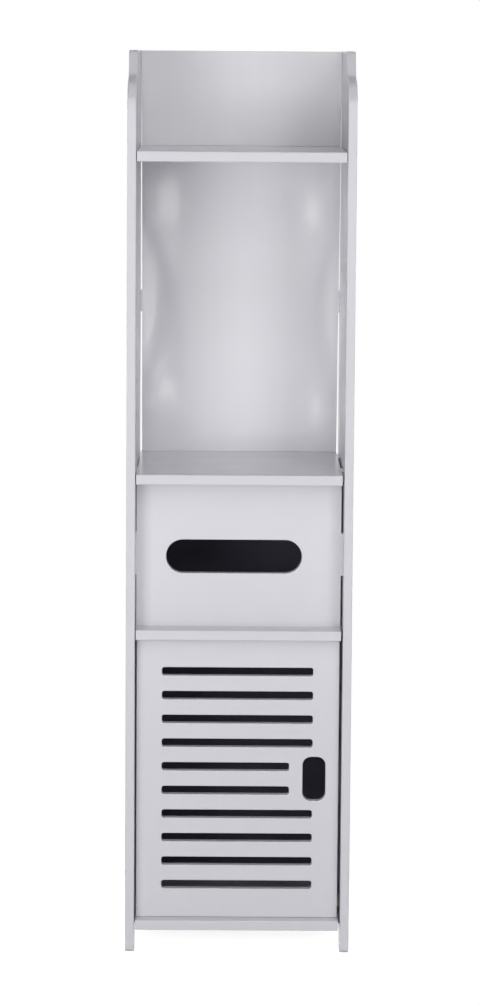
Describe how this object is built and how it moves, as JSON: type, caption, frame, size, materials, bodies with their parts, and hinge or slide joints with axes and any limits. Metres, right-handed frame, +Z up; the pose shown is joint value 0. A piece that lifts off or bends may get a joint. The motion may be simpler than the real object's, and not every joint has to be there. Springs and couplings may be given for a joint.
{
  "type": "bathroom shelf unit",
  "caption": "Tall narrow white bathroom unit of tabbed boards with an open tray, an open compartment, a slotted tissue box and a cupboard with a louvred door.",
  "frame": {"origin": "on the floor, under the middle of the unit", "axes": "+Z up, the front with the door faces -Y, +X to the right seen from the front"},
  "size_m": [0.2, 0.2, 0.8],
  "materials": {
    "foam_board": "satin, slightly cool white foamed-plastic board",
    "back_sheet": "satin to glossy cool white plastic sheet",
    "pin_plastic": "moulded white plastic",
    "catch_plastic": "moulded white plastic",
    "magnet": "pressed dark grey ferrite",
    "plated_steel": "zinc plated",
    "pad_rubber": "matte pale grey foam rubber"
  },
  "bodies": {
    "carcass": {"left_side_panel": "foam_board", "right_side_panel": "foam_board", "top_shelf": "foam_board", "middle_shelf": "foam_board", "lower_shelf": "foam_board", "bottom_board": "foam_board", "cupboard_back_panel": "back_sheet", "tissue_back_panel": "back_sheet", "compartment_back_panel": "back_sheet", "tray_back_panel": "back_sheet", "tissue_front_panel": "foam_board", "catch_housing": "catch_plastic", "catch_magnet": "magnet", "catch_pole_plates": "plated_steel", "catch_screws": "plated_steel", "front_left_foot_pad": "pad_rubber", "front_right_foot_pad": "pad_rubber", "rear_left_foot_pad": "pad_rubber", "rear_right_foot_pad": "pad_rubber"},
    "door": {"louvred_door": "foam_board", "upper_pivot_pin": "pin_plastic", "lower_pivot_pin": "pin_plastic", "strike_plate": "plated_steel", "strike_screw": "plated_steel"}
  },
  "joints": [
    {"name": "door_hinge", "type": "hinge", "parent": "carcass", "child": "door", "pos_m": [-0.0816, -0.082, 0.15507], "axis": [0, 0, -1], "range_deg": [0, 100]}
  ]
}
